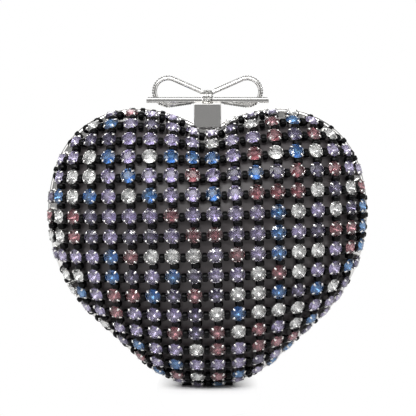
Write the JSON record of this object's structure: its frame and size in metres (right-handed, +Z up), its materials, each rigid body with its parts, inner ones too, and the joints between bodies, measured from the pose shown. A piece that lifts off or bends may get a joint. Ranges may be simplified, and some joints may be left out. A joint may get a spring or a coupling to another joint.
{
  "type": "heart shaped purse",
  "caption": "Hard-shell heart shaped clutch purse, satin covered under a net of faceted stones and black beads, hinged at the tip and shut by a bow clasp in the cleft.",
  "frame": {"origin": "on the floor, under the middle of the purse standing on its tip", "axes": "+X to the right seen from the front, +Y to the rear half, +Z up from the hinge to the clasp"},
  "size_m": [0.1495, 0.0838, 0.1453],
  "materials": {
    "satin": "smooth satin weave, soft sheen",
    "shell": "moulded, unpainted",
    "lining": "soft suede-like cloth",
    "setting_silver": "bright silver plate",
    "stone_lavender": "faceted, foiled back",
    "stone_tanzanite": "faceted, foiled back",
    "stone_clear": "faceted, foiled back",
    "stone_blue": "faceted, foiled back",
    "stone_rose": "faceted, foiled back",
    "black_bead": "glossy black",
    "thread": "waxed",
    "crystal": "faceted, foiled back",
    "steel": "plain",
    "polished_silver": "mirror polished"
  },
  "bodies": {
    "rear": {"rear_frame": "polished_silver", "rear_shell": "shell", "rear_satin_cover": "satin", "rear_lining": "lining", "rear_hinge_leaf": "steel", "hinge_pin": "steel", "clasp_bracket": "steel", "clasp_pin": "steel", "rear_settings": "setting_silver", "rear_base_settings": "setting_silver", "rear_stones_lavender": "stone_lavender", "rear_stones_tanzanite": "stone_tanzanite", "rear_stones_clear": "stone_clear", "rear_stones_blue": "stone_blue", "rear_stones_rose": "stone_rose", "rear_row_beads": "black_bead", "rear_column_beads": "black_bead", "rear_rim_beads": "black_bead", "rear_net_thread": "thread"},
    "front": {"front_frame": "polished_silver", "front_shell": "shell", "front_satin_cover": "satin", "front_lining": "lining", "front_hinge_leaf": "steel", "catch_spring": "steel", "front_settings": "setting_silver", "front_base_settings": "setting_silver", "front_stones_lavender": "stone_lavender", "front_stones_tanzanite": "stone_tanzanite", "front_stones_clear": "stone_clear", "front_stones_blue": "stone_blue", "front_stones_rose": "stone_rose", "front_row_beads": "black_bead", "front_column_beads": "black_bead", "front_rim_beads": "black_bead", "front_net_thread": "thread"},
    "clasp": {"clasp_cap": "polished_silver", "bow_knot": "polished_silver", "bow_left_loop": "polished_silver", "bow_right_loop": "polished_silver", "bow_left_tail": "polished_silver", "bow_right_tail": "polished_silver", "bow_loop_crystals": "crystal", "bow_tail_crystals": "crystal", "bow_knot_crystals": "crystal"}
  },
  "joints": [
    {"name": "front_opening", "type": "hinge", "parent": "rear", "child": "front", "pos_m": [0, 0, 0.002], "axis": [1, 0, 0], "range_deg": [0, 60], "deforming": ["catch_spring"]},
    {"name": "clasp_flip", "type": "hinge", "parent": "rear", "child": "clasp", "pos_m": [0, 0.00115, 0.12351], "axis": [-1, 0, 0], "range_deg": [0, 25]}
  ]
}
